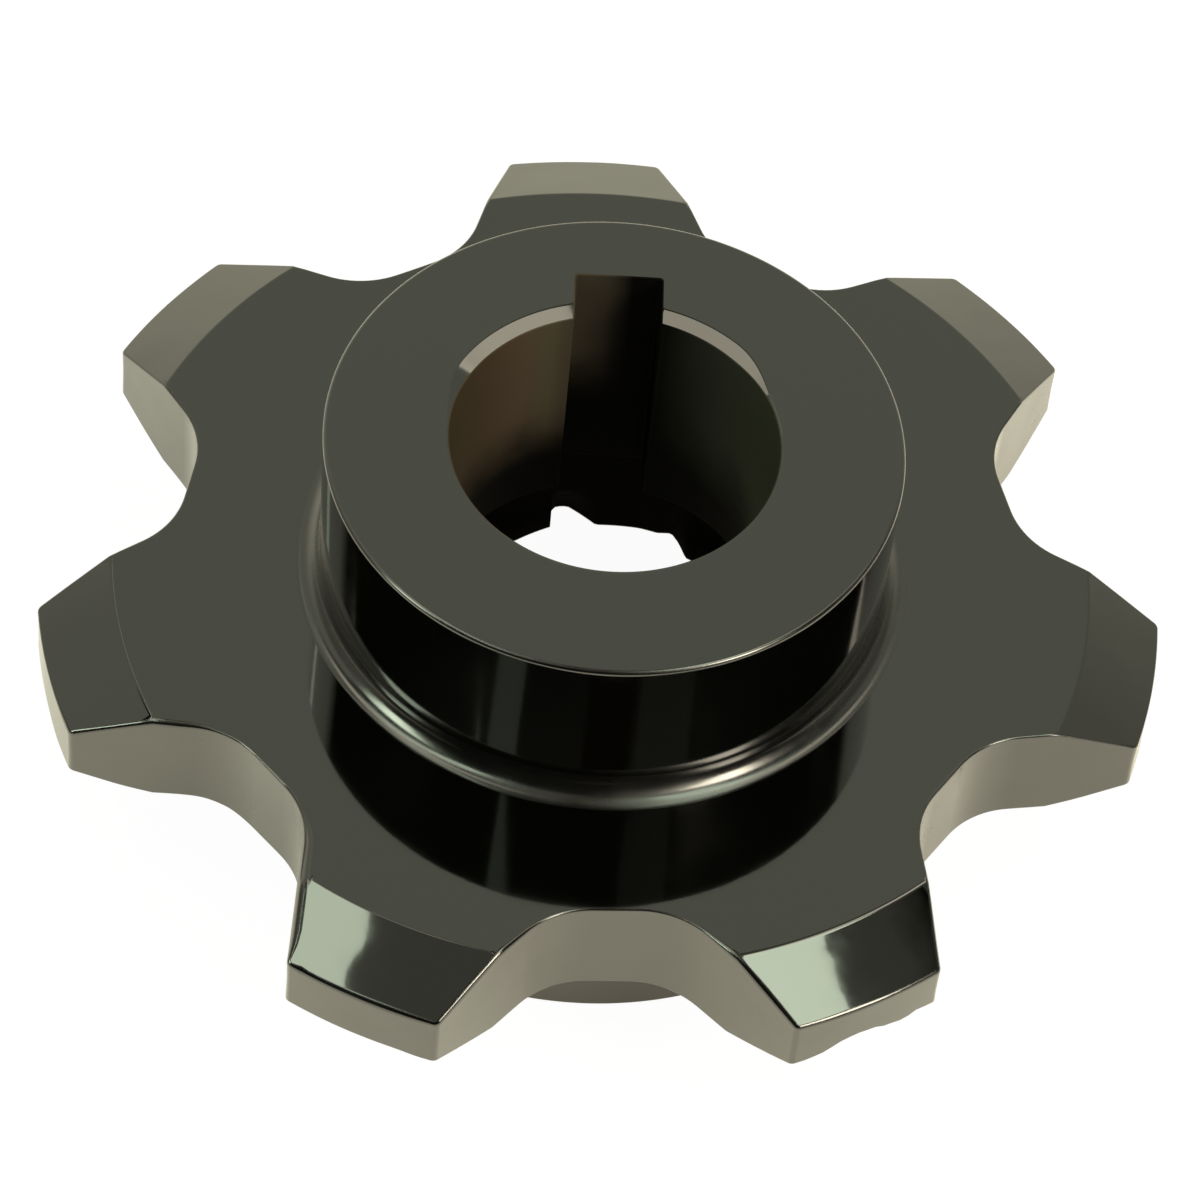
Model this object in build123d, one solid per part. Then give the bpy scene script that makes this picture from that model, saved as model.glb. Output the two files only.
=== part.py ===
from build123d import *
from math import cos, pi, radians, sin, tan
import os

# A seven-tooth chain sprocket, forged and turned from one piece of steel:
# a toothed plate, a keyed hub on its upper side and a recessed ring on its lower side.
# Millimetres. Z is the bore's axis, Z = 0 is the middle of the plate, where the chain
# runs, and one tooth points along +Y.

# The chain that it drives
tooth_count = 7
chain_pitch = 41.4
roller_diameter = 16.66

# Toothed plate
tip_rise = 4.54           # how far the tooth tips stand out past the pitch circle
plate_thickness = 11.4
tip_land = 5.4            # width of the tooth tips, between the two turned bevels
bevel_angle = 23.5        # slope of those bevels, from the plate's faces
seat_clearance = 0.07     # seat radius, less the roller's radius
seat_floor_length = 4.0   # straight floor between the two arcs of a seat
flank_angle = 44.5        # lean of a tooth flank from the middle of its gap
gap_cut_past_tips = 5.0   # how far the cut for a gap runs on past the tooth tips
edge_break = 0.3          # taken off the sharp edges all round each gap

# Hub, above the plate
hub_diameter = 52.8
hub_height = 17.55
hub_rim_round = 0.4
hub_foot_fillet = 2.0

# Ring, below the plate
ring_diameter = 65.0
ring_height = 15.0
ring_rim_chamfer = 1.0
ring_foot_fillet = 3.0
recess_diameter = 49.0
recess_depth = 17.7       # from the ring's lower face up past the plate's lower face
recess_mouth_chamfer = 1.0
recess_corner_chamfer = 1.0

# Bore and keyway
bore_diameter = 30.0
bore_mouth_width = 1.15   # of the shallow countersink at the hub end, all round the bore
bore_mouth_depth = 0.4
bore_lower_chamfer = 1.2
keyway_width = 8.0
keyway_depth = 4.5        # past the bore's wall, at the middle of the keyway
keyway_angle = 87.0       # from +X, so the keyway stands 3 degrees off the tooth on +Y

# Places worked out from the sizes above
pitch_radius = chain_pitch / (2 * sin(pi / tooth_count))
seat_radius = roller_diameter / 2 + seat_clearance
root_radius = pitch_radius - seat_radius
tip_radius = pitch_radius + tip_rise
plate_top = plate_thickness / 2
bevel_start_radius = tip_radius - (plate_thickness - tip_land) / 2 / tan(radians(bevel_angle))
hub_top = plate_top + hub_height
ring_bottom = -plate_top - ring_height
recess_ceiling = ring_bottom + recess_depth
bore_radius = bore_diameter / 2


def turned_blank():
    """The whole turned form, with its bore and recess, before the teeth are cut."""
    corners = {
        "bore_mouth": (bore_radius + bore_mouth_width, hub_top),
        "hub_rim": (hub_diameter / 2, hub_top),
        "hub_foot": (hub_diameter / 2, plate_top),
        "upper_bevel_start": (bevel_start_radius, plate_top),
        "upper_tip": (tip_radius, tip_land / 2),
        "lower_tip": (tip_radius, -tip_land / 2),
        "lower_bevel_start": (bevel_start_radius, -plate_top),
        "ring_foot": (ring_diameter / 2, -plate_top),
        "ring_rim": (ring_diameter / 2, ring_bottom),
        "recess_mouth": (recess_diameter / 2, ring_bottom),
        "recess_corner": (recess_diameter / 2, recess_ceiling),
        "bore_bottom": (bore_radius, recess_ceiling),
        "bore_mouth_foot": (bore_radius, hub_top - bore_mouth_depth),
    }
    with BuildPart() as blank:
        with BuildSketch(Plane.YZ) as section:
            with BuildLine():
                Polyline(*corners.values(), close=True)
            make_face()

            def at(name):
                return section.vertices().sort_by_distance(Vector(*corners[name]))[0]

            fillet(at("hub_rim"), hub_rim_round)
            fillet(at("hub_foot"), hub_foot_fillet)
            fillet(at("ring_foot"), ring_foot_fillet)
            chamfer(at("ring_rim"), ring_rim_chamfer)
            chamfer(at("recess_mouth"), recess_mouth_chamfer)
            chamfer(at("recess_corner"), recess_corner_chamfer)
            chamfer(at("bore_bottom"), bore_lower_chamfer)
        revolve(axis=Axis.Z)
    return blank.part


def tooth_gap():
    """The outline of one gap, opening along +Y: floor, two roller seats and two flanks."""
    seat_sweep = 90 - flank_angle
    floor_end = Vector(seat_floor_length / 2, root_radius)
    seat_centre = floor_end + Vector(0, seat_radius)
    seat_end = seat_centre + seat_radius * Vector(sin(radians(seat_sweep)), -cos(radians(seat_sweep)))
    mouth_rise = tip_radius + gap_cut_past_tips - seat_end.Y
    mouth_end = seat_end + mouth_rise * Vector(tan(radians(flank_angle)), 1)
    with BuildSketch() as gap:
        with BuildLine():
            Line((0, root_radius), floor_end)
            CenterArc(seat_centre, seat_radius, -90, seat_sweep)
            Line(seat_end, mouth_end)
            Line(mouth_end, (0, mouth_end.Y))
            mirror(about=Plane.YZ)
        make_face()
    return gap.sketch


def keyway():
    """The slot that the key slides into, open to the bore over its whole length."""
    floor_distance = bore_radius + keyway_depth
    slot = Box(floor_distance, keyway_width, hub_top - ring_bottom, align=(Align.MIN, Align.CENTER, Align.MIN))
    return Rot(0, 0, keyway_angle) * Pos(0, 0, ring_bottom) * slot


def toothed_blank():
    """The turned form with a gap cut between each two teeth, and the edges of the gaps broken."""
    blank = turned_blank()
    cutter = extrude(tooth_gap(), amount=plate_thickness, both=True)
    cuts = PolarLocations(0, tooth_count, start_angle=180 / tooth_count) * cutter
    toothed = blank - cuts
    sharp_edges = new_edges(blank, *cuts, combined=toothed)
    return toothed.chamfer(edge_break, None, sharp_edges)


os.makedirs("parts", exist_ok=True)
body = toothed_blank() - keyway()
body.label = "sprocket"
export_step(body, "parts/sprocket.step")
print("sprocket volume", round(body.volume), "mm3, pitch diameter", round(2 * pitch_radius, 2))
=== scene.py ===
import math

import bpy
from mathutils import Matrix, Vector, noise


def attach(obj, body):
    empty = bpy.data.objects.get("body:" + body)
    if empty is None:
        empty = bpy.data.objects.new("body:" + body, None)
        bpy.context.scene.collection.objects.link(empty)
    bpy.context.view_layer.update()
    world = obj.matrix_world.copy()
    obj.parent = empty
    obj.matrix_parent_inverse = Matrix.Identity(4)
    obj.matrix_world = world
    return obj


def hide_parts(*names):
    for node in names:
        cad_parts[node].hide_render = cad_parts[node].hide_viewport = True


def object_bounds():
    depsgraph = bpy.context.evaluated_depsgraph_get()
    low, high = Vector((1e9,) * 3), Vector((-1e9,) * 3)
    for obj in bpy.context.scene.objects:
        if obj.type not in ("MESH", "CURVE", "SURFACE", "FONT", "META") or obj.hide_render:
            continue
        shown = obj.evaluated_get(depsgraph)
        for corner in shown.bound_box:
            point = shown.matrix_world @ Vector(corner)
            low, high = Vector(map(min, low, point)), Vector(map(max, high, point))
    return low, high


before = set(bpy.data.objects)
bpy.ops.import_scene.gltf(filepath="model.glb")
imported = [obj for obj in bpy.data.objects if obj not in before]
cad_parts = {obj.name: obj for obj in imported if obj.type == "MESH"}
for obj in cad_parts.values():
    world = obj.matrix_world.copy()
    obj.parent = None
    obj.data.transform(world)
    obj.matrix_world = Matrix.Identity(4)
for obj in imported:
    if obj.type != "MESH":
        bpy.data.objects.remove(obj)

cadLow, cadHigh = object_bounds()
print("frame loaded, CAD box", [round(v * 1000, 2) for v in (*cadLow, *cadHigh)])

mm = 0.001


def hexToLinear(code):
    channels = [int(code[i:i + 2], 16) / 255 for i in (1, 3, 5)]
    return tuple(c / 12.92 if c <= 0.04045 else ((c + 0.055) / 1.055) ** 2.4 for c in channels) + (1.0,)


def addNode(tree, kind, settings=None, links=None):
    # settings go to the node's own properties or to its sockets, which are given by name or by number
    node = tree.nodes.new(kind)
    for name, value in (settings or {}).items():
        if isinstance(name, str) and hasattr(node, name) and name not in node.inputs:
            setattr(node, name, value)
        else:
            node.inputs[name].default_value = value
    for name, socket in (links or {}).items():
        tree.links.new(socket, node.inputs[name])
    return node


def newMaterial(name):
    material = bpy.data.materials.new(name)
    material.use_nodes = True
    material.node_tree.nodes.clear()
    return material, material.node_tree


# the sprocket's body, the whole forging as one closed skin, in millimetres and degrees
body = {
    "toothCount": 7,
    "chainPitch": 41.4,
    "seatRadius": 8.4,         # a 16.66 mm roller with a little room
    "seatFloor": 4.0,
    "flankAngle": 44.5,
    "tipRise": 4.54,           # tips past the pitch circle
    "tipCornerRound": 0.7,
    "plateThickness": 11.4,
    "tipLand": 5.4,
    "bevelAngle": 23.5,
    "plateDish": 0.0157,       # the upper face rises a little from the hub outwards
    "skinWave": 0.07,          # forged gap walls are not quite flat
    "skinWaveLength": 5.0,
    # how soft the line is where the upper bevel starts: angle and half width
    "crease": [
        (0, 0.15), (170, 0.15), (180, 0.22), (206, 0.22), (225, 0.07), (260, 0.07), (280, 0.26), (310, 0.26),
        (330, 0.15), (360, 0.15),
    ],
    "lowerCrease": 0.2,
    # how round the upper edge is: angle and radius
    "upperEdge": [
        (0, 0.25), (195, 0.25), (200, 0.5), (206, 0.5), (211, 0.22), (226, 0.3), (230, 1.15), (235, 1.15),
        (239, 0.6), (255, 0.6), (261, 0.25), (280, 0.25), (284, 0.6), (304, 0.5), (312, 0.25), (360, 0.25),
    ],
    "lowerEdge": 0.28,
    "edgeUneven": 0.3,         # share by which the hand dressing of the edges varies
    "edgeUnevenLength": 6.0,
    "cornerEdge": 0.5,         # no edge is rounder than this at a tip's corner
    "cornerEdgeGrowth": 0.45,  # and this much more for each millimetre away
    "bevelWave": 0.018,        # the bevels are dressed by hand and not quite true
    "bevelWaveLength": 3.6,
    "fineWave": 0.16,          # share of a finer wave on top
    "fineWaveLength": 1.3,
    "bevelWaveRamp": 0.8,      # the wave comes in over this much of the bevel
    "hubRadius": 26.4,
    "hubHeight": 17.55,
    "hubRimRound": 0.4,
    "hubTaper": 0.2,           # the wall is this much narrower at the foot
    "hubFootFillet": 2.2,
    "hubFootUneven": 0.06,     # share by which that fillet varies
    "ringRadius": 32.5,
    "ringHeight": 15.0,
    "ringRimChamfer": 1.0,
    "ringFootFillet": 3.0,
    "recessRadius": 24.5,
    "recessDepth": 17.7,
    "recessChamfer": 1.0,
    "crispness": 0.12,         # rows this far from a turned corner keep it crisp
    "boreRadius": 15.0,
    "boreEdgeRound": 0.15,
    "boreMouthWidth": 1.45,    # a shallow countersink at the hub end, cut deeper on the keyway's side
    "boreMouthSlope": 0.35,
    "boreMouthCentre": 95.0,
    "boreMouthSpan": 80.0,     # it has run out this far to each side of that
    "boreMouthFade": 30.0,
    "boreMouthLeast": 0.2,     # share of the width on the far side from the keyway
    "boreMouthFlat": 0.45,     # share of the depth lost where it runs out on the left
    "boreMouthFlatFade": 50.0,
    "boreMouthCrease": 0.06,
    "lowerChamfer": 1.2,
    "keywayWidth": 8.0,
    "keywayDepth": 4.5,
    "keywayAngle": 87.0,
    "keywayCornerRound": 0.25,
    # the recess's lower rim is rough and chipped here: angle and radius
    "recessRim": [
        (40, 24.5), (54, 22.7), (62.6, 22.75), (66, 24.2), (68.4, 25.0), (71.5, 24.55), (75.8, 24.6),
        (85.9, 24.25), (92.2, 26.5), (94.6, 26.5), (95.9, 25.9), (96.4, 24.0), (105.7, 22.9), (116, 22.6),
        (132, 24.5),
    ],
    "recessRimHeight": 3.0,    # the chips reach this far up
    "recessRimFade": 2.5,
    "recessRimReach": 1.5,     # and this far out from the recess's wall
    # the underside as forged: angle and height above true, far from the ring
    "underside": [
        (195, 0.0), (207, 0.5), (211, 0.3), (215, -0.3), (224, 0.0), (238, -0.4), (262, -0.2), (282, -0.4),
        (304, 0.0), (330, 0.0),
    ],
    "undersideStart": 37.5,    # true as far out as this
    "undersideRamp": 4.0,
    # ground away from the lower bevels, and left on them below zero: angle and depth
    "lowerBevels": [
        (16, 0), (20, -0.4), (31, -0.4), (36, 0), (146, 0), (150, -0.4), (160, -0.4), (165, 0), (192, 0),
        (197, -0.5), (206, -0.5), (210, 0), (248, 0), (251, -0.2), (258, -0.2), (262, 0), (279, 0),
        (282, -0.25), (286, -0.2), (289, 0.0), (290.5, 0.2), (292.0, 0.75), (293.3, 1.3), (294.8, 1.42),
        (296.4, 1.25), (298.0, 0.7), (300.0, 0.35), (301.4, 0.75), (303.0, 0.5), (305, 0), (333, 0),
        (336, -0.3), (342, -0.3), (346, 0),
    ],
    "lowerBevelsStart": 43.5,
    "lowerBevelsRamp": 5.5,
}

# how many pieces each stretch of the skin is cut into
cuts = {
    "seatFloor": 3,
    "seat": 12,
    "flank": 9,
    "tipCorner": 6,
    "tip": 8,
    "keywayBreak": 4,
    "keywayWall": 6,
    "keywayCorner": 3,
    "bore": 8,
    "boreEdge": 3,
    "hubFace": 5,
    "hubRim": 8,
    "hubWall": 6,
    "hubFoot": 16,
    "plate": 5,
    "bevel": 6,
    "edge": 6,
    "gapWall": 6,
    "underside": 3,
    "ringFoot": 8,
    "ringWall": 3,
    "recessWall": 6,
    "recessFace": 3,
}

plateTop = body["plateThickness"] / 2
hubTop = plateTop + body["hubHeight"]
ringBottom = -plateTop - body["ringHeight"]
ceiling = ringBottom + body["recessDepth"]
pitchRadius = body["chainPitch"] / (2 * math.sin(math.pi / body["toothCount"]))
rootRadius = pitchRadius - body["seatRadius"]
tipRadius = pitchRadius + body["tipRise"]
bevelSlope = math.tan(math.radians(body["bevelAngle"]))
bevelStart = tipRadius - (body["plateThickness"] - body["tipLand"]) / 2 / bevelSlope


def rotated(x, y, angle):
    c, s = math.cos(angle), math.sin(angle)
    return x * c - y * s, x * s + y * c


def eased(t):
    # 0 to 1 with soft ends
    t = min(1.0, max(0.0, t))
    return t * t * (3 - 2 * t)


def waver(x, y, z, size, seed):
    return noise.noise(Vector((x / size + seed, y / size - seed, z / size + 2 * seed)))


def alongTable(table, degrees, smooth=True):
    # the value at an angle between the rows of a table of angle and value
    degrees %= 360
    if degrees <= table[0][0]:
        return table[0][1]
    for (a, va), (b, vb) in zip(table, table[1:]):
        if degrees <= b:
            t = (degrees - a) / (b - a)
            return va + (vb - va) * (eased(t) if smooth else t)
    return table[-1][1]


def halfGapOutline():
    # from the middle of a gap to the middle of the tooth beside it, gap along +Y: x, y, normal x, normal y
    points = []
    seat = body["seatRadius"]
    half = body["seatFloor"] / 2
    lean = math.radians(body["flankAngle"])
    sweep = math.pi / 2 - lean
    for i in range(cuts["seatFloor"]):
        points.append((half * i / cuts["seatFloor"], rootRadius, 0.0, 1.0))
    for i in range(cuts["seat"] + 1):
        a = sweep * i / cuts["seat"]
        x, y = half + seat * math.sin(a), rootRadius + seat * (1 - math.cos(a))
        points.append((x, y, -math.sin(a), math.cos(a)))
    seatEnd = Vector(points[-1][:2])
    along = Vector((math.sin(lean), math.cos(lean)))
    normal = Vector((-math.cos(lean), math.sin(lean)))
    corner = body["tipCornerRound"]
    start = seatEnd - normal * corner
    b = start.dot(along)
    reach = -b + math.sqrt(b * b - start.length_squared + (tipRadius - corner) ** 2)
    centre = start + along * reach
    for i in range(1, cuts["flank"]):
        p = seatEnd + along * reach * i / cuts["flank"]
        points.append((p.x, p.y, normal.x, normal.y))
    first = math.atan2(normal.y, normal.x)
    last = math.atan2(centre.y, centre.x)
    for i in range(cuts["tipCorner"] + 1):
        a = first + (last - first) * i / cuts["tipCorner"]
        c, s = math.cos(a), math.sin(a)
        points.append((centre.x + corner * c, centre.y + corner * s, c, s))
    toothMiddle = math.pi / 2 - math.pi / body["toothCount"]
    for i in range(1, cuts["tip"] + 1):
        a = last + (toothMiddle - last) * i / cuts["tip"]
        points.append((tipRadius * math.cos(a), tipRadius * math.sin(a), math.cos(a), math.sin(a)))
    return points


def toothOutline():
    # the whole outline, anticlockwise from the middle of the gap at -90 degrees
    half = halfGapOutline()
    left = [(-x, y, -nx, ny) for x, y, nx, ny in half]
    right = list(reversed(half))[1:-1]
    step = 2 * math.pi / body["toothCount"]
    outline = []
    for gap in range(body["toothCount"]):
        turn = -math.pi + gap * step
        for part, angle in ((left, turn), (right, turn + step)):
            for x, y, nx, ny in part:
                outline.append((*rotated(x, y, angle), *rotated(nx, ny, angle)))
    return outline


def unwrapped(outline):
    # the angle of each point, always growing
    angles = []
    for x, y, nx, ny in outline:
        a = math.atan2(y, x)
        while angles and a < angles[-1] - 1e-9:
            a += 2 * math.pi
        angles.append(a)
    return angles


def keywayPath(count):
    # round the keyway, anticlockwise, keyway along +Y, normals into the hole
    half, floor = body["keywayWidth"] / 2, body["boreRadius"] + body["keywayDepth"]
    r = body["keywayCornerRound"]
    breakY = math.sqrt((body["boreRadius"] + r) ** 2 - (half + r) ** 2)
    breakAngle = math.atan2(breakY, half + r)
    side = []
    for i in range(cuts["keywayBreak"] + 1):
        a = math.pi + breakAngle * (1 - i / cuts["keywayBreak"])
        side.append((half + r + r * math.cos(a), breakY + r * math.sin(a), math.cos(a), math.sin(a)))
    wallEnd = floor - r
    for i in range(1, cuts["keywayWall"]):
        side.append((half, breakY + (wallEnd - breakY) * i / cuts["keywayWall"], -1.0, 0.0))
    for i in range(cuts["keywayCorner"] + 1):
        a = math.pi / 2 * i / cuts["keywayCorner"]
        side.append((half - r + r * math.cos(a), wallEnd + r * math.sin(a), -math.cos(a), -math.sin(a)))
    inner = count - 2 * len(side)
    floorPart = []
    for i in range(1, inner + 1):
        floorPart.append((half - r - (2 * half - 2 * r) * i / (inner + 1), floor, 0.0, -1.0))
    mirrored = [(-x, y, -nx, ny) for x, y, nx, ny in reversed(side)]
    return side + floorPart + mirrored


def boreOutline(outerAngles):
    # one inner point for each outer one: bore wall, and the keyway where the two overlap
    middle = math.radians(body["keywayAngle"])
    corner = body["keywayCornerRound"]
    spread = math.asin((body["keywayWidth"] / 2 + corner) / (body["boreRadius"] + corner))
    inside = [k for k, a in enumerate(outerAngles) if abs(a - middle) < spread]
    turn = middle - math.pi / 2
    points = {}
    for k, (x, y, nx, ny) in zip(inside, keywayPath(len(inside))):
        points[k] = (*rotated(x, y, turn), *rotated(nx, ny, turn))
    before, after = inside[0], inside[-1]
    total = len(outerAngles)
    sweep = 2 * math.pi - 2 * spread
    start, end = outerAngles[after], outerAngles[before] + 2 * math.pi
    r = body["boreRadius"]
    for k in range(after + 1, after + 1 + total - len(inside)):
        k %= total
        a = outerAngles[k] if k > after else outerAngles[k] + 2 * math.pi
        a = middle + spread + sweep * (a - start) / (end - start)
        points[k] = (r * math.cos(a), r * math.sin(a), -math.cos(a), -math.sin(a))
    return [points[k] for k in range(total)]


def creased(r, start, slope, width):
    # height lost past a crease at radius start, softened over width each side
    d = r - start
    if d <= -width:
        return 0.0
    if d >= width:
        return slope * d
    return slope * (d + width) ** 2 / (4 * width)


def upperPlate(r, crease=0.15):
    dish = body["plateDish"] * max(0.0, bevelStart - r)
    return plateTop - dish - creased(r, bevelStart, bevelSlope, crease)


def lowerPlate(r):
    return plateTop - creased(r, bevelStart, bevelSlope, body["lowerCrease"])


def boreMouth(r, face, width, depth):
    # height of a face that a countersink takes down towards the bore
    return face - creased(-r, -(body["boreRadius"] + width), depth / width, body["boreMouthCrease"])


def mouthFade(angle, over):
    # 1 by the keyway, 0 beyond the countersink's span to its sides
    off = abs((math.degrees(angle) - body["boreMouthCentre"] + 180) % 360 - 180)
    return eased((body["boreMouthSpan"] - off) / over)


def mouthWidth(angle):
    least = body["boreMouthLeast"]
    return body["boreMouthWidth"] * (least + (1 - least) * mouthFade(angle, body["boreMouthFade"]))


def mouthDepth(angle):
    # it runs out flatter on the left
    flat = 0.0
    if math.degrees(angle) % 360 > body["boreMouthCentre"]:
        flat = body["boreMouthFlat"] * (1 - mouthFade(angle, body["boreMouthFlatFade"]))
    return mouthWidth(angle) * body["boreMouthSlope"] * (1 - flat)


def lowerMouth(r):
    return boreMouth(r, -ceiling, body["lowerChamfer"], body["lowerChamfer"])


def faceNormal(x, y, heightAt, side):
    # outward normal of a turned face: it leans only with the radius
    r = math.hypot(x, y)
    lean = (heightAt(r + 0.005) - heightAt(r - 0.005)) / 0.01
    return Vector((-lean * x / r, -lean * y / r, side)).normalized()


def edgeArc(point, normal, heightAt, radius, steps, side):
    # rounds the edge between a turned face and an upright wall as a ball rolled along it would: side is +1
    # above, -1 below. The ball rests on the face where the room under it is least.
    p, n = Vector(point), Vector(normal)

    def room(t):
        return heightAt((p + n * radius * t).length) - radius * math.sqrt(1 - (t + 1) ** 2)

    tries, span = 48, 0.999
    touch = min((-1.0 + span * i / tries for i in range(tries + 1)), key=room)
    centreZ = room(touch)
    for i in range(-6, 7):
        t = touch + i * span / tries / 6
        if -1.0 <= t <= -0.001 and room(t) < centreZ:
            centreZ, touch = room(t), t
    first = math.acos(min(1.0, max(0.0, touch + 1)))
    wall = Vector((n.x, n.y, 0))
    rows = []
    face = None
    for i in range(steps + 1):
        a = first * (1 - i / steps)
        q = p + n * (-radius + radius * math.cos(a))
        if face is None:
            face = faceNormal(q.x, q.y, heightAt, side)
        lean = face.lerp(wall, i / steps).normalized()
        rows.append((q.x, q.y, side * (centreZ + radius * math.sin(a)), *lean))
    return rows


def angleOf(point, near):
    # the angle of a point round the axis, on the same turn as another angle
    a = math.atan2(point[1], point[0])
    return a + 2 * math.pi * round((near - a) / (2 * math.pi))


def radiusOf(point):
    return math.hypot(point[0], point[1])


def facePoint(r, a, heightAt, side=1):
    x, y = r * math.cos(a), r * math.sin(a)
    return (x, y, side * heightAt(r), *faceNormal(x, y, heightAt, side))


def sectionPoints(section, a, before, after, shift=None):
    # swings a run of r, z pairs to angle a; its long flats stay flat and its short faces turn between them
    # before and after are the pairs that the run joins, and the surface lies to the left of its direction
    run = [before, *section, after]
    points = []
    for i in range(1, len(run) - 1):
        sumR = sumZ = 0.0
        for (r1, z1), (r2, z2) in ((run[i - 1], run[i]), (run[i], run[i + 1])):
            length = math.hypot(r2 - r1, z2 - z1)
            sumR -= (z2 - z1) * length ** 2
            sumZ += (r2 - r1) * length ** 2
        size = math.hypot(sumR, sumZ)
        nr, nz = sumR / size, sumZ / size
        r, z = run[i]
        along = 0.0
        if shift:
            moved = shift(r, z, a)
            along = (shift(r, z, a + 0.01) - shift(r, z, a - 0.01)) / (0.02 * r) * abs(nr)
            nz += (shift(r, z + 0.05, a) - shift(r, z - 0.05, a)) / 0.1 * abs(nr)
            r += moved
        c, s = math.cos(a), math.sin(a)
        points.append((r * c, r * s, z, *Vector((nr * c - along * s, nr * s + along * c, nz)).normalized()))
    return points


def quarter(centreR, centreZ, radius, start, end, steps):
    # r, z pairs round a corner of the section
    pairs = []
    for i in range(steps + 1):
        a = math.radians(start + (end - start) * i / steps)
        pairs.append((centreR + radius * math.cos(a), centreZ + radius * math.sin(a)))
    return pairs


def hubFoot(angle):
    # from the hub's wall down to the plate
    uneven = waver(math.cos(angle), math.sin(angle), 0, size=0.35, seed=3.1)
    fillet = body["hubFootFillet"] * (1 + body["hubFootUneven"] * uneven)
    start = body["hubRadius"] - body["hubTaper"]
    base = upperPlate(start + fillet)
    return quarter(start + fillet, base + fillet, fillet, 180, 270, cuts["hubFoot"])


def crispCorner(a, b, c):
    # two points either side of corner b
    a, b, c = Vector(a), Vector(b), Vector(c)
    away = body["crispness"]
    return [tuple(b + (a - b).normalized() * away), tuple(b + (c - b).normalized() * away)]


def nickDepth(r, z, angle):
    if r > body["recessRadius"] + body["recessRimReach"]:
        return 0.0
    up = (z - ringBottom - body["recessRimHeight"]) / body["recessRimFade"]
    rim = alongTable(body["recessRim"], math.degrees(angle), False)
    return (rim - body["recessRadius"]) * (1 - min(1.0, max(0.0, up)))


def dressing(x, y, side):
    # height left on a bevel by hand dressing, and on the underside as it came from the forging
    r = math.hypot(x, y)
    degrees = math.degrees(math.atan2(y, x))
    t = min(1.0, max(0.0, (r - bevelStart) / body["bevelWaveRamp"]))
    wave = waver(x, y, side * 3.0, size=body["bevelWaveLength"], seed=5.3)
    wave += body["fineWave"] * waver(x, y, side * 3.0, size=body["fineWaveLength"], seed=7.7)
    height = body["bevelWave"] * t * wave
    if side < 0:
        for name in ("underside", "lowerBevels"):
            t = (r - body[name + "Start"]) / body[name + "Ramp"]
            height -= alongTable(body[name], degrees) * eased(t)
    return height


def dressed(point):
    # the turned rows inside the teeth stay as they are
    x, y, z, nx, ny, nz = point
    r = math.hypot(x, y)
    side = math.copysign(1.0, z)
    if r < body["undersideStart"] - 0.5 or (side > 0 and r < bevelStart):
        return point
    slopeX = (dressing(x + 0.05, y, side) - dressing(x - 0.05, y, side)) / 0.1
    slopeY = (dressing(x, y + 0.05, side) - dressing(x, y - 0.05, side)) / 0.1
    lean = Vector((nx - slopeX * abs(nz), ny - slopeY * abs(nz), nz)).normalized()
    return (x, y, z + side * dressing(x, y, side), *lean)


def edgeSizes(outline):
    # radius of the upper and the lower edge at each point, never rounder than the tip's corners allow
    corners = []
    for (x1, y1, *n1), (x2, y2, *n2) in zip(outline, outline[1:] + outline[:1]):
        if Vector(n1).angle(Vector(n2)) > math.radians(6):
            corners += [Vector((x1, y1)), Vector((x2, y2))]
    sizes = []
    for x, y, nx, ny in outline:
        away = min((Vector((x, y)) - corner).length for corner in corners)
        room = body["cornerEdge"] + body["cornerEdgeGrowth"] * away
        upper = alongTable(body["upperEdge"], math.degrees(math.atan2(y, x)))
        pair = []
        for size, z in ((upper, 0), (body["lowerEdge"], 9)):
            uneven = waver(x, y, z, size=body["edgeUnevenLength"], seed=1.7)
            pair.append(min(room, size * (1 + body["edgeUneven"] * uneven)))
        sizes.append(pair)
    return sizes


def gapWall(outer, top, low):
    # the wall between the two edges, pushed in a little here and there
    ox, oy, onx, ony = outer

    def push(x, y, z):
        return -body["skinWave"] * (0.5 + 0.5 * waver(x, y, z, size=body["skinWaveLength"], seed=9.3))

    points = []
    for i in range(1, cuts["gapWall"]):
        z = top + (low - top) * i / cuts["gapWall"]
        fade = math.sin(math.pi * i / cuts["gapWall"])
        ahead = push(ox - ony * 0.1, oy + onx * 0.1, z)
        behind = push(ox + ony * 0.1, oy - onx * 0.1, z)
        sideways = fade * (ahead - behind) / 0.2
        upwards = fade * (push(ox, oy, z + 0.1) - push(ox, oy, z - 0.1)) / 0.2
        lean = Vector((onx + ony * sideways, ony - onx * sideways, -upwards)).normalized()
        depth = push(ox, oy, z) * fade
        points.append((ox + onx * depth, oy + ony * depth, z, *lean))
    return points


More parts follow.
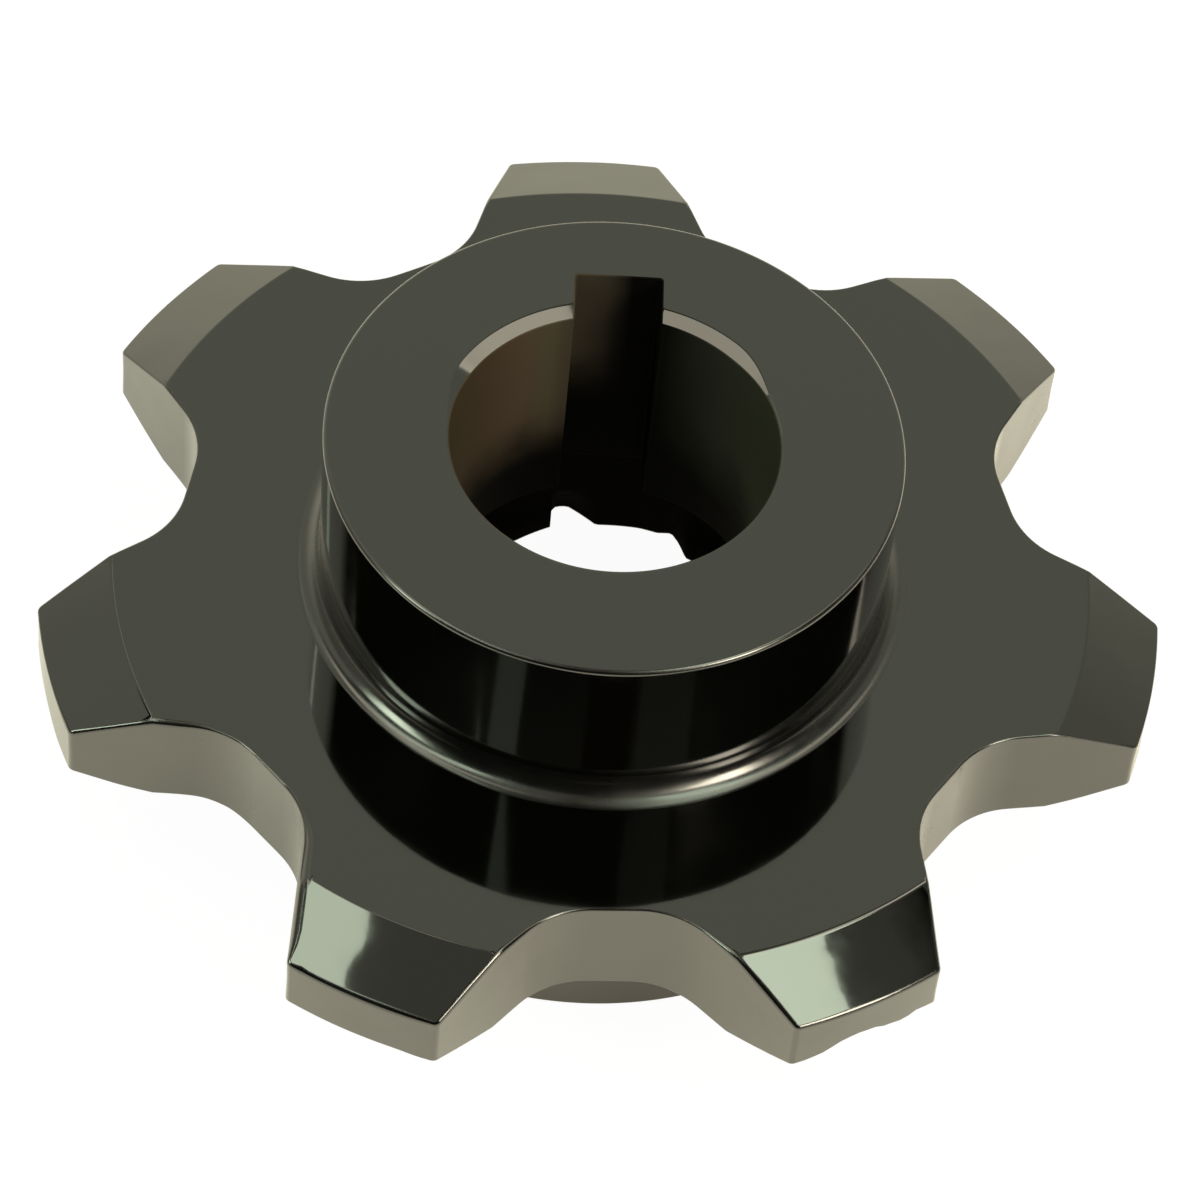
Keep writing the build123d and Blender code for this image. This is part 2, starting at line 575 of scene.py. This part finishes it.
def ringSection():
    # r, z pairs from the plate's underside down the ring, over its lower face and up into the recess
    fillet, chamfer, inner = body["ringFootFillet"], body["ringRimChamfer"], body["recessChamfer"]
    outside, inside = body["ringRadius"], body["recessRadius"]
    foot = (outside, -plateTop - fillet)
    rim = [(outside, ringBottom + chamfer), (outside - chamfer, ringBottom)]
    mouth = [(inside + inner, ringBottom), (inside, ringBottom + inner)]
    top = [(inside, ceiling - inner), (inside - inner, ceiling)]
    wall, recess = cuts["ringWall"], cuts["recessWall"]
    section = quarter(outside + fillet, foot[1], fillet, 90, 180, cuts["ringFoot"])
    section += [(outside, foot[1] + (rim[0][1] - foot[1]) * i / wall) for i in range(1, wall)]
    corners = [foot, *rim, *mouth, top[0]]
    for before, corner, after in zip(corners, corners[1:], corners[2:]):
        section += crispCorner(before, corner, after)
    section += [(inside, mouth[1][1] + (top[0][1] - mouth[1][1]) * i / recess) for i in range(1, recess)]
    section += crispCorner(mouth[1], *top)
    section += crispCorner(*top, (body["boreRadius"] + 1, ceiling))
    return section


def sprocketColumn(outer, outerAngle, inner, innerAngle, edgeUp, edgeDown):
    # one slice of the skin, from the bore wall up, over the hub, round the teeth and back under the ring
    rows = []
    marks = []

    def put(points, mark):
        for point in points:
            rows.append(point)
            marks.append(mark)

    def upperMouth(r):
        return boreMouth(r, hubTop, mouthWidth(innerAngle), mouthDepth(innerAngle))

    # bore
    ix, iy, inx, iny = inner
    topArc = edgeArc((ix, iy), (inx, iny), upperMouth, body["boreEdgeRound"], cuts["boreEdge"], 1)
    lowArc = edgeArc((ix, iy), (inx, iny), lowerMouth, body["boreEdgeRound"], cuts["boreEdge"], -1)
    low, rise = lowArc[-1][2], topArc[-1][2] - lowArc[-1][2]
    put([(ix, iy, low + rise * i / cuts["bore"], inx, iny, 0.0) for i in range(1, cuts["bore"])], "bore")
    put(reversed(topArc), "bore")

    # hub face: three rows at the countersink's crease, then out to the rim
    startR, startAngle = radiusOf(topArc[0]), angleOf(topArc[0], innerAngle)
    mouth = body["boreRadius"] + mouthWidth(innerAngle)
    away = body["crispness"]
    creaseRows = [max(mouth + (k - 1) * away, startR + 0.05 * (k + 1)) for k in range(3)]
    put([facePoint(r, startAngle, upperMouth) for r in creaseRows], "skin")
    faceEnd = body["hubRadius"] - body["hubRimRound"]
    for i in range(1, cuts["hubFace"]):
        t = i / cuts["hubFace"]
        r = creaseRows[2] + (faceEnd - creaseRows[2]) * t
        put([facePoint(r, startAngle + (outerAngle - startAngle) * t, upperMouth)], "skin")

    # hub rim, wall and foot
    rim = quarter(faceEnd, hubTop - body["hubRimRound"], body["hubRimRound"], 90, 0, cuts["hubRim"])
    foot = hubFoot(outerAngle)
    top, fall = rim[-1][1], foot[0][1] - rim[-1][1]
    wall = []
    for i in range(1, cuts["hubWall"]):
        t = i / cuts["hubWall"]
        wall.append((body["hubRadius"] - body["hubTaper"] * t, top + fall * t))
    plateFrom = foot[-1][0]
    afterFoot = (plateFrom + 3, upperPlate(plateFrom + 3))
    placed = sectionPoints(rim + wall + foot, outerAngle, (faceEnd - 3, hubTop), afterFoot)
    put(placed[:len(rim)], "foot")
    put(placed[len(rim):-len(foot)], "skin")
    put(placed[-len(foot):], "foot")

    # plate, bevel and upper edge
    ox, oy, onx, ony = outer
    crease = alongTable(body["crease"], math.degrees(outerAngle))

    def plateFace(r):
        return upperPlate(r, crease)

    upper = [dressed(q) for q in edgeArc((ox, oy), (onx, ony), plateFace, edgeUp, cuts["edge"], 1)]
    lower = [dressed(q) for q in edgeArc((ox, oy), (onx, ony), lowerPlate, edgeDown, cuts["edge"], -1)]
    limit = min(radiusOf(upper[0]), radiusOf(lower[0]))
    platePart = [min(bevelStart + k * crease, limit - 0.2 + 0.1 * k) for k in (-1, 0, 1)]
    platePart += [platePart[2] + (limit - platePart[2]) * i / cuts["bevel"] for i in range(1, cuts["bevel"])]
    flat = platePart[0] - plateFrom
    radii = [plateFrom + flat * i / cuts["plate"] for i in range(1, cuts["plate"])] + platePart

    def plateAngle(r, edgePoint):
        t = min(1.0, max(0.0, (r - plateFrom) / (limit - plateFrom)))
        return outerAngle + (angleOf(edgePoint, outerAngle) - outerAngle) * t

    put([dressed(facePoint(r, plateAngle(r, upper[0]), plateFace)) for r in radii], "skin")
    put(upper, "edge")

    # gap wall and lower edge
    put(gapWall(outer, upper[-1][2], lower[-1][2]), "wall")
    put(reversed(lower), "edge")

    # underside of the plate, ring and recess
    ringFoot = body["ringRadius"] + body["ringFootFillet"]
    inwards = (ringFoot - platePart[0]) / cuts["underside"]
    radii = platePart[::-1] + [platePart[0] + inwards * i for i in range(1, cuts["underside"])]
    put([dressed(facePoint(r, plateAngle(r, lower[0]), lowerPlate, -1)) for r in radii], "skin")
    ringAngle = plateAngle(ringFoot, lower[0])
    section = ringSection()
    beyond = (body["boreRadius"] + 1, ceiling)
    ringPoints = sectionPoints(section, ringAngle, (ringFoot + 3, -plateTop), beyond, nickDepth)
    recessEdge = body["recessRadius"] + 0.3
    firstInside = next(i for i, (r, z) in enumerate(section) if r < recessEdge and z > ringBottom)
    put(ringPoints[:firstInside + 1], "skin")
    put(ringPoints[firstInside + 1:], "inside")

    # recess face, back to the bore
    lowR, endAngle = radiusOf(lowArc[0]), angleOf(lowArc[0], innerAngle)
    mouth = body["boreRadius"] + body["lowerChamfer"]
    lastRows = [max(mouth + (k - 1) * away, lowR + 0.05 * (k + 1)) for k in (2, 1, 0)]
    for i in range(1, cuts["recessFace"]):
        t = i / cuts["recessFace"]
        r = section[-1][0] + (lastRows[0] - section[-1][0]) * t
        put([facePoint(r, ringAngle + (endAngle - ringAngle) * t, lowerMouth, -1)], "inside")
    put([facePoint(r, endAngle, lowerMouth, -1) for r in lastRows], "inside")
    put(lowArc, "bore")
    return rows, marks


def buildSprocket():
    outer = toothOutline()
    outerAngles = unwrapped(outer)
    inner = boreOutline(outerAngles)
    sizes = edgeSizes(outer)
    columns = []
    marks = None
    for k, point in enumerate(outer):
        innerAngle = angleOf(inner[k], outerAngles[k])
        rows, marks = sprocketColumn(point, outerAngles[k], inner[k], innerAngle, *sizes[k])
        columns.append(rows)
    rowCount = len(marks)
    vertices = [(x * mm, y * mm, z * mm) for rows in columns for x, y, z, *lean in rows]
    leans = [tuple(lean) for rows in columns for x, y, z, *lean in rows]
    faces, kinds = [], []
    for k in range(len(columns)):
        after = (k + 1) % len(columns)
        for j in range(rowCount):
            up = (j + 1) % rowCount
            faces.append((k * rowCount + j, k * rowCount + up, after * rowCount + up, after * rowCount + j))
            kinds.append((marks[j], marks[up]))
    mesh = bpy.data.meshes.new("sprocketBody")
    mesh.from_pydata(vertices, [], faces)
    for polygon in mesh.polygons:
        polygon.use_smooth = True
    mesh.update()
    mesh.normals_split_custom_set_from_vertices(leans)
    piece = bpy.data.objects.new("sprocketBody", mesh)
    bpy.context.scene.collection.objects.link(piece)
    return piece, kinds


sprocketBody, faceKinds = buildSprocket()
print("sprocket skin:", len(sprocketBody.data.polygons), "faces")


# how the enamel lies on the outside
enamel = {
    "colour": "#030302",       # a deep black with next to no colour of its own
    "orangePeel": 1.4,         # mm from crest to crest
    "peelDepth": 0.02,         # mm
    "dustPatch": 9,            # mm
    # strength of the peel, roughness of the body and roughness of the coat
    "onTurnedSteel": (0.05, 0.045, 0.03),
    "onRawForging": (0.25, 0.16, 0.12),
    "pooledAtTheFoot": (0.05, 0.18, 0.16),
}


def makeEnamel(name, peelStrength, smooth, coatRoughness):
    # gloss black enamel, sprayed on forged and turned steel: almost no body colour, only clear reflections
    material, tree = newMaterial(name)
    place = addNode(tree, "ShaderNodeTexCoord")
    peel = addNode(tree, "ShaderNodeTexNoise", {
        "Scale": 1 / (enamel["orangePeel"] * mm),
        "Detail": 2.0,
    }, {"Vector": place.outputs["Object"]})
    peelBump = addNode(tree, "ShaderNodeBump", {
        "Strength": peelStrength,
        "Distance": enamel["peelDepth"] * mm,
    }, {"Height": peel.outputs["Fac"]})
    dust = addNode(tree, "ShaderNodeTexNoise", {
        "Scale": 1 / (enamel["dustPatch"] * mm),
        "Detail": 5.0,
        "Roughness": 0.6,
    }, {"Vector": place.outputs["Object"]})
    haze = addNode(tree, "ShaderNodeMapRange", {
        "From Min": 0.35, "From Max": 0.75, "To Min": smooth, "To Max": smooth * 2,
    }, {"Value": dust.outputs["Fac"]})
    shader = addNode(tree, "ShaderNodeBsdfPrincipled", {
        "Base Color": hexToLinear(enamel["colour"]),
        "IOR": 1.5,
        "Specular IOR Level": 1.0,
        "Coat Weight": 1.0,
        "Coat Roughness": coatRoughness,
        "Coat IOR": 1.5,
    }, {
        "Roughness": haze.outputs["Result"],
        "Normal": peelBump.outputs["Normal"],
        "Coat Normal": peelBump.outputs["Normal"],
    })
    addNode(tree, "ShaderNodeOutputMaterial", None, {"Surface": shader.outputs["BSDF"]})
    return material


boredSteel = {
    # across the bore from left to right: a brown film of old oil, olive where it is thin, with painted light
    # and shade on it: lighter on the left wall where the light falls, black in the shade by the keyway
    "tonesWithPaintedShade": [
        (0.03, "#42392a"), (0.12, "#463a2c"), (0.25, "#524538"), (0.33, "#504a3a"), (0.38, "#463f33"),
        (0.50, "#3a342b"), (0.58, "#080705"), (0.68, "#0b0b08"), (0.86, "#31332a"), (0.95, "#343629"),
    ],
    # painted shade: the colour deep in the bore and in the keyway's shadow
    "black": "#010101",
    "toolMark": 0.35,          # mm a turn, drawn coarser than a real 0.1 mm feed so that it shows
    "toolMarkDepth": 0.02,     # mm
    "shadeEdgePatch": 9,            # mm
    "deepShadeEnd": (-3, 8),        # mm of height, from the painted shade's black deep in the bore to the film's full tone
    "keywayShadeLift": 7,             # mm that the painted shade reaches higher up by the keyway
    "shadeEdgeWobble": 2.5,         # mm
}


def makeBoredSteel():
    # steel, bored and broached, with a dull brown film of oil; its colour also holds painted light and shade:
    # lighter on the lit side, black further down and by the keyway where shade falls
    material, tree = newMaterial("boredSteelOiledPaintedShade")
    place = addNode(tree, "ShaderNodeTexCoord")
    rings = addNode(tree, "ShaderNodeTexWave", {
        "wave_type": "BANDS",
        "bands_direction": "Z",
        "Scale": 1 / (boredSteel["toolMark"] * mm) / 20,
        "Distortion": 1.5,
    }, {"Vector": place.outputs["Object"]})
    ringBump = addNode(tree, "ShaderNodeBump", {
        "Strength": 0.15,
        "Distance": boredSteel["toolMarkDepth"] * mm,
    }, {"Height": rings.outputs["Fac"]})
    # noise that wobbles the height where the painted shade ends
    film = addNode(tree, "ShaderNodeTexNoise", {
        "Scale": 1 / (boredSteel["shadeEdgePatch"] * mm),
        "Detail": 4.0,
    }, {"Vector": place.outputs["Object"]})
    split = addNode(tree, "ShaderNodeSeparateXYZ", None, {"Vector": place.outputs["Object"]})
    across = addNode(tree, "ShaderNodeMapRange", {
        "From Min": -body["boreRadius"] * mm,
        "From Max": body["boreRadius"] * mm,
    }, {"Value": split.outputs["X"]})
    tone = addNode(tree, "ShaderNodeValToRGB", None, {"Fac": across.outputs["Result"]})
    stops = tone.color_ramp.elements
    while len(stops) < len(boredSteel["tonesWithPaintedShade"]):
        stops.new(0.5)
    for stop, (position, code) in zip(stops, boredSteel["tonesWithPaintedShade"]):
        stop.position = position
    for stop, (position, code) in zip(stops, boredSteel["tonesWithPaintedShade"]):
        stop.color = hexToLinear(code)
    # the painted shade reaches higher up at the keyway than on the sides
    lift = addNode(tree, "ShaderNodeMapRange", {
        "From Min": 3 * mm, "From Max": 17 * mm, "To Min": 0.0, "To Max": boredSteel["keywayShadeLift"] * mm,
    }, {"Value": split.outputs["Y"]})
    wobble = addNode(tree, "ShaderNodeMapRange", {
        "From Min": 0.3,
        "From Max": 0.7,
        "To Min": -boredSteel["shadeEdgeWobble"] * mm,
        "To Max": boredSteel["shadeEdgeWobble"] * mm,
    }, {"Value": film.outputs["Fac"]})
    lower = addNode(tree, "ShaderNodeMath", {"operation": "SUBTRACT"}, {
        0: split.outputs["Z"],
        1: lift.outputs["Result"],
    })
    height = addNode(tree, "ShaderNodeMath", {"operation": "ADD"}, {
        0: lower.outputs["Value"],
        1: wobble.outputs["Result"],
    })
    amount = addNode(tree, "ShaderNodeMapRange", {
        "interpolation_type": "SMOOTHSTEP",
        "From Min": boredSteel["deepShadeEnd"][0] * mm,
        "From Max": boredSteel["deepShadeEnd"][1] * mm,
    }, {"Value": height.outputs["Value"]})
    # painted shade: mixes the tone to black deep in the bore and by the keyway
    colour = addNode(tree, "ShaderNodeMix", {
        "data_type": "RGBA",
        6: hexToLinear(boredSteel["black"]),
    }, {"Factor": amount.outputs["Result"], 7: tone.outputs["Color"]})
    shader = addNode(tree, "ShaderNodeBsdfPrincipled", {
        "Roughness": 0.5,
        "Specular IOR Level": 0.03,
    }, {"Base Color": colour.outputs[2], "Normal": ringBump.outputs["Normal"]})
    addNode(tree, "ShaderNodeOutputMaterial", None, {"Surface": shader.outputs["BSDF"]})
    return material


thinBlack = {
    "colour": "#100f0c",
    "grain": 0.8,              # mm
    "grainDepth": 0.04,        # mm
}


def makeThinBlack():
    # the recess only caught overspray: thin, dry and dull
    material, tree = newMaterial("thinBlackOversprayDull")
    place = addNode(tree, "ShaderNodeTexCoord")
    grain = addNode(tree, "ShaderNodeTexNoise", {
        "Scale": 1 / (thinBlack["grain"] * mm),
        "Detail": 4.0,
    }, {"Vector": place.outputs["Object"]})
    bump = addNode(tree, "ShaderNodeBump", {
        "Strength": 0.3,
        "Distance": thinBlack["grainDepth"] * mm,
    }, {"Height": grain.outputs["Fac"]})
    shader = addNode(tree, "ShaderNodeBsdfPrincipled", {
        "Base Color": hexToLinear(thinBlack["colour"]),
        "Roughness": 0.7,
        "Specular IOR Level": 0.03,
    }, {"Normal": bump.outputs["Normal"]})
    addNode(tree, "ShaderNodeOutputMaterial", None, {"Surface": shader.outputs["BSDF"]})
    return material


materials = [
    makeEnamel("glossBlackEnamelOnTurnedSteel", *enamel["onTurnedSteel"]),
    makeBoredSteel(),
    makeThinBlack(),
    makeEnamel("glossBlackEnamelOnRawForging", *enamel["onRawForging"]),
    makeEnamel("blackEnamelPooledAtTheFoot", *enamel["pooledAtTheFoot"]),
]
slots = {"skin": 0, "bore": 1, "inside": 2, "wall": 3, "edge": 3, "foot": 4}
for material in materials:
    sprocketBody.data.materials.append(material)
for polygon, kind in zip(sprocketBody.data.polygons, faceKinds):
    polygon.material_index = min(slots[kind[0]], slots[kind[1]])
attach(sprocketBody, "root")
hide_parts("sprocket")
print("finishes done")


# floor and lamps, in metres
studio = {
    "floorSize": 6.0,
    "white": "#ffffff",
    "paperEnd": -0.45,         # in reflections the white paper gives way to dark floor from half this to here
    "paper": "#e7e3d7",
    "darkFloor": "#191919",
    "paperGlow": "#fff3da",    # light that it bounces back from the room
    "paperGlowLevel": 0.22,
    "seenPaper": "#505050",    # what the camera sees is nearly all glow, and this takes the shadow
    "seenGlow": 0.955,
    "lampHeight": 1.0,
    "cool": "#f0ffe2",
    "warm": "#fff5dc",
    "lamps": {                 # centre and size, turn in degrees, radiance, tint
        "leftTail": (-0.437, -0.55, 0.115, 0.26, 0, 0.75, "cool"),
        "leftStrip": (-0.455, -0.09, 0.15, 0.66, 0, 3.7, "cool"),
        "leftBank": (-0.3155, 0.27, 0.20, 0.60, 47.4, 1.8, "warm"),
        "leftWindow": (-1.53, -0.42, 0.42, 1.35, 113.9, 7.5, "cool"),
        "rightTail": (0.30, -0.61, 0.24, 0.38, 0, 0.15, "cool"),
        "rightStrip": (0.345, -0.185, 0.26, 0.47, 0, 4.6, "cool"),
        "rightBank": (0.396, 0.211, 0.20, 0.62, -31.0, 2.3, "warm"),
        "rightWindow": (1.18, -1.20, 0.42, 1.60, 42.5, 15.0, "warm"),
        "backStrip": (-0.315, 0.69, 0.06, 0.22, 12.8, 1.0, "cool"),
    },
}


def seenWhite(tree, paths):
    # 1 where the camera looks, straight or through glass, and so sees plain white
    return addNode(tree, "ShaderNodeMath", {"operation": "MAXIMUM"}, {
        0: paths.outputs["Is Camera Ray"],
        1: paths.outputs["Is Transmission Ray"],
    }).outputs["Value"]


def makeFloor():
    # seamless white paper: pure white to the eye, with a faint shadow under the part
    h = studio["floorSize"] / 2
    z = cadLow.z
    mesh = bpy.data.meshes.new("floor")
    mesh.from_pydata([(-h, -h, z), (h, -h, z), (h, h, z), (-h, h, z)], [], [(0, 1, 2, 3)])
    floor = bpy.data.objects.new("floor", mesh)
    bpy.context.scene.collection.objects.link(floor)
    material, tree = newMaterial("whitePaperMatt")
    seenPaper = addNode(tree, "ShaderNodeBsdfDiffuse", {"Color": hexToLinear(studio["seenPaper"])})
    seenGlow = addNode(tree, "ShaderNodeEmission", {
        "Color": hexToLinear(studio["white"]),
        "Strength": studio["seenGlow"],
    })
    seen = addNode(tree, "ShaderNodeAddShader", None, {
        0: seenPaper.outputs["BSDF"],
        1: seenGlow.outputs["Emission"],
    })
    place = addNode(tree, "ShaderNodeTexCoord")
    split = addNode(tree, "ShaderNodeSeparateXYZ", None, {"Vector": place.outputs["Object"]})
    reach = addNode(tree, "ShaderNodeMapRange", {
        "From Min": studio["paperEnd"],
        "From Max": studio["paperEnd"] / 2,
    }, {"Value": split.outputs["Y"]})
    tone = addNode(tree, "ShaderNodeMix", {
        "data_type": "RGBA",
        6: hexToLinear(studio["darkFloor"]),
        7: hexToLinear(studio["paper"]),
    }, {"Factor": reach.outputs["Result"]})
    level = addNode(tree, "ShaderNodeMath", {
        "operation": "MULTIPLY",
        1: studio["paperGlowLevel"],
    }, {0: reach.outputs["Result"]})
    paper = addNode(tree, "ShaderNodeBsdfDiffuse", None, {"Color": tone.outputs[2]})
    glow = addNode(tree, "ShaderNodeEmission", {
        "Color": hexToLinear(studio["paperGlow"]),
    }, {"Strength": level.outputs["Value"]})
    bounced = addNode(tree, "ShaderNodeAddShader", None, {
        0: paper.outputs["BSDF"],
        1: glow.outputs["Emission"],
    })
    paths = addNode(tree, "ShaderNodeLightPath")
    pick = addNode(tree, "ShaderNodeMixShader", None, {
        "Fac": seenWhite(tree, paths),
        1: bounced.outputs["Shader"],
        2: seen.outputs["Shader"],
    })
    addNode(tree, "ShaderNodeOutputMaterial", None, {"Surface": pick.outputs["Shader"]})
    mesh.materials.append(material)


def makeLamp(name, x, y, width, length, turn, radiance, tint):
    light = bpy.data.lights.new(name, "AREA")
    light.shape = "RECTANGLE"
    light.size, light.size_y = width, length
    light.energy = radiance * math.pi * width * length
    light.color = hexToLinear(studio[tint])[:3]
    lamp = bpy.data.objects.new(name, light)
    lamp.location = (x, y, studio["lampHeight"])
    lamp.rotation_euler = (0, 0, math.radians(turn))
    bpy.context.scene.collection.objects.link(lamp)


# the room that the reflections show, by direction: -1 to 1 along X, Y and Z
room = {
    "wall": [(0.25, "#f7f3d6"), (0.58, "#bfc0ad"), (0.84, "#bfc2ac")],
    "frontSlope": -0.75,       # the dark front starts further back the higher up
    "frontStart": (-0.20, -0.14),
    "frontLevel": 0.01,
    "farOut": (0.57, 0.62),    # far out to the sides it starts further forward, by this much
    "farOutShift": 0.22,
    "rightward": (0.0, 0.5),
    "rightwardShift": 0.06,
    "ceiling": (0.825, 0.86),
    "ceilingLevel": 0.5,
    "beamMiddle": 0.035,
    "beamEdge": (0.085, 0.10),
    "beamLevel": 0.2,
    "beamTint": "#dd9581",
    "rightEnd": (0.15, 0.6),
    "rightEndLevel": 0.76,
    "sideEnds": (0.76, 0.87),
    "sideEndsLevel": 0.3,
    "fill": 0.45,
}


def makeRoom():
    # white to the camera, a plain fill for the light, and in reflections a pale wall behind and a dark front
    world = bpy.data.worlds.new("room")
    bpy.context.scene.world = world
    world.use_nodes = True
    tree = world.node_tree
    tree.nodes.clear()
    place = addNode(tree, "ShaderNodeTexCoord")
    split = addNode(tree, "ShaderNodeSeparateXYZ", None, {"Vector": place.outputs["Generated"]})
    across, deep, up = split.outputs["X"], split.outputs["Y"], split.outputs["Z"]
    wall = addNode(tree, "ShaderNodeValToRGB", None, {"Fac": up})
    ramp = wall.color_ramp.elements
    ramp.new(0.7)
    for stop, (position, code) in zip(ramp, room["wall"]):
        stop.position = position
        stop.color = hexToLinear(code)

    # the room is dark in front, from further back the higher up, and less so far out to the sides
    raised = addNode(tree, "ShaderNodeMath", {
        "operation": "MULTIPLY_ADD",
        1: room["frontSlope"],
    }, {0: up, 2: deep})
    sideways = addNode(tree, "ShaderNodeMath", {"operation": "ABSOLUTE"}, {0: across})
    farOut = addNode(tree, "ShaderNodeMapRange", {
        "From Min": room["farOut"][0],
        "From Max": room["farOut"][1],
        "To Min": 0.0,
        "To Max": room["farOutShift"],
    }, {"Value": sideways.outputs["Value"]})
    rightward = addNode(tree, "ShaderNodeMapRange", {
        "From Min": room["rightward"][0],
        "From Max": room["rightward"][1],
        "To Min": 0.0,
        "To Max": room["rightwardShift"],
    }, {"Value": across})
    shift = addNode(tree, "ShaderNodeMath", {"operation": "ADD"}, {
        0: farOut.outputs["Result"],
        1: rightward.outputs["Result"],
    })
    edge = addNode(tree, "ShaderNodeMath", {"operation": "ADD"}, {
        0: raised.outputs["Value"],
        1: shift.outputs["Value"],
    })
    front = addNode(tree, "ShaderNodeMapRange", {
        "From Min": room["frontStart"][0],
        "From Max": room["frontStart"][1],
        "To Min": room["frontLevel"],
        "To Max": 1.0,
    }, {"Value": edge.outputs["Value"]})

    # the ceiling is lighter, but for a dark beam overhead
    ceilingLight = addNode(tree, "ShaderNodeMapRange", {
        "From Min": room["ceiling"][0],
        "From Max": room["ceiling"][1],
        "To Min": 0.0,
        "To Max": room["ceilingLevel"],
    }, {"Value": up})
    offBeam = addNode(tree, "ShaderNodeMath", {"operation": "SUBTRACT", 1: room["beamMiddle"]}, {0: across})
    beamSide = addNode(tree, "ShaderNodeMath", {"operation": "ABSOLUTE"}, {0: offBeam.outputs["Value"]})
    beam = addNode(tree, "ShaderNodeMapRange", {
        "From Min": room["beamEdge"][0],
        "From Max": room["beamEdge"][1],
        "To Min": room["beamLevel"],
        "To Max": 1.0,
    }, {"Value": beamSide.outputs["Value"]})
    overhead = addNode(tree, "ShaderNodeMath", {"operation": "MULTIPLY"}, {
        0: ceilingLight.outputs["Result"],
        1: beam.outputs["Result"],
    })

    # the back wall is a little darker to the right, and much darker at both sides
    rightEnd = addNode(tree, "ShaderNodeMapRange", {
        "From Min": room["rightEnd"][0],
        "From Max": room["rightEnd"][1],
        "To Min": 1.0,
        "To Max": room["rightEndLevel"],
    }, {"Value": across})
    sideEnds = addNode(tree, "ShaderNodeMapRange", {
        "From Min": room["sideEnds"][0],
        "From Max": room["sideEnds"][1],
        "To Min": 1.0,
        "To Max": room["sideEndsLevel"],
    }, {"Value": sideways.outputs["Value"]})
    ends = addNode(tree, "ShaderNodeMath", {"operation": "MULTIPLY"}, {
        0: rightEnd.outputs["Result"],
        1: sideEnds.outputs["Result"],
    })
    strength = addNode(tree, "ShaderNodeMath", {"operation": "MAXIMUM"}, {
        0: front.outputs["Result"],
        1: overhead.outputs["Value"],
    })
    level = addNode(tree, "ShaderNodeMath", {"operation": "MULTIPLY"}, {
        0: strength.outputs["Value"],
        1: ends.outputs["Value"],
    })
    lit = addNode(tree, "ShaderNodeMath", {"operation": "MAXIMUM"}, {
        0: front.outputs["Result"],
        1: beam.outputs["Result"],
    })
    tint = addNode(tree, "ShaderNodeMix", {
        "data_type": "RGBA",
        6: hexToLinear(room["beamTint"]),
    }, {"Factor": lit.outputs["Value"], 7: wall.outputs["Color"]})

    paths = addNode(tree, "ShaderNodeLightPath")
    white = hexToLinear(studio["white"])
    shown = addNode(tree, "ShaderNodeBackground", None, {
        "Color": tint.outputs[2],
        "Strength": level.outputs["Value"],
    })
    plain = addNode(tree, "ShaderNodeBackground", {"Color": white, "Strength": 1.0})
    fill = addNode(tree, "ShaderNodeBackground", {"Color": white, "Strength": room["fill"]})
    other = addNode(tree, "ShaderNodeMixShader", None, {
        "Fac": paths.outputs["Is Glossy Ray"],
        1: fill.outputs["Background"],
        2: shown.outputs["Background"],
    })
    final = addNode(tree, "ShaderNodeMixShader", None, {
        "Fac": seenWhite(tree, paths),
        1: other.outputs["Shader"],
        2: plain.outputs["Background"],
    })
    addNode(tree, "ShaderNodeOutputWorld", None, {"Surface": final.outputs["Shader"]})


makeFloor()
for name, values in studio["lamps"].items():
    makeLamp(name, *values)
makeRoom()
print("studio done")


camera = {
    "place": (-0.0368, -0.3195, 0.41395),
    "lookAt": (0.000575, 0.00334, -0.0048),
    "roll": 6.115,             # degrees, the picture turns clockwise
    "lens": 168.1,
    "sensor": 36.0,
}


def makeCamera():
    data = bpy.data.cameras.new("camera")
    data.lens, data.sensor_width = camera["lens"], camera["sensor"]
    data.clip_start, data.clip_end = 0.01, 20.0
    eye = bpy.data.objects.new("camera", data)
    place, target = Vector(camera["place"]), Vector(camera["lookAt"])
    eye.rotation_mode = "QUATERNION"
    aim = (target - place).to_track_quat("-Z", "Y").to_matrix()
    turn = aim @ Matrix.Rotation(math.radians(camera["roll"]), 3, "Z")
    eye.matrix_world = Matrix.Translation(place) @ turn.to_4x4()
    bpy.context.scene.collection.objects.link(eye)
    bpy.context.scene.camera = eye


makeCamera()
bpy.context.scene.view_settings.view_transform = "Standard"
print("camera done")
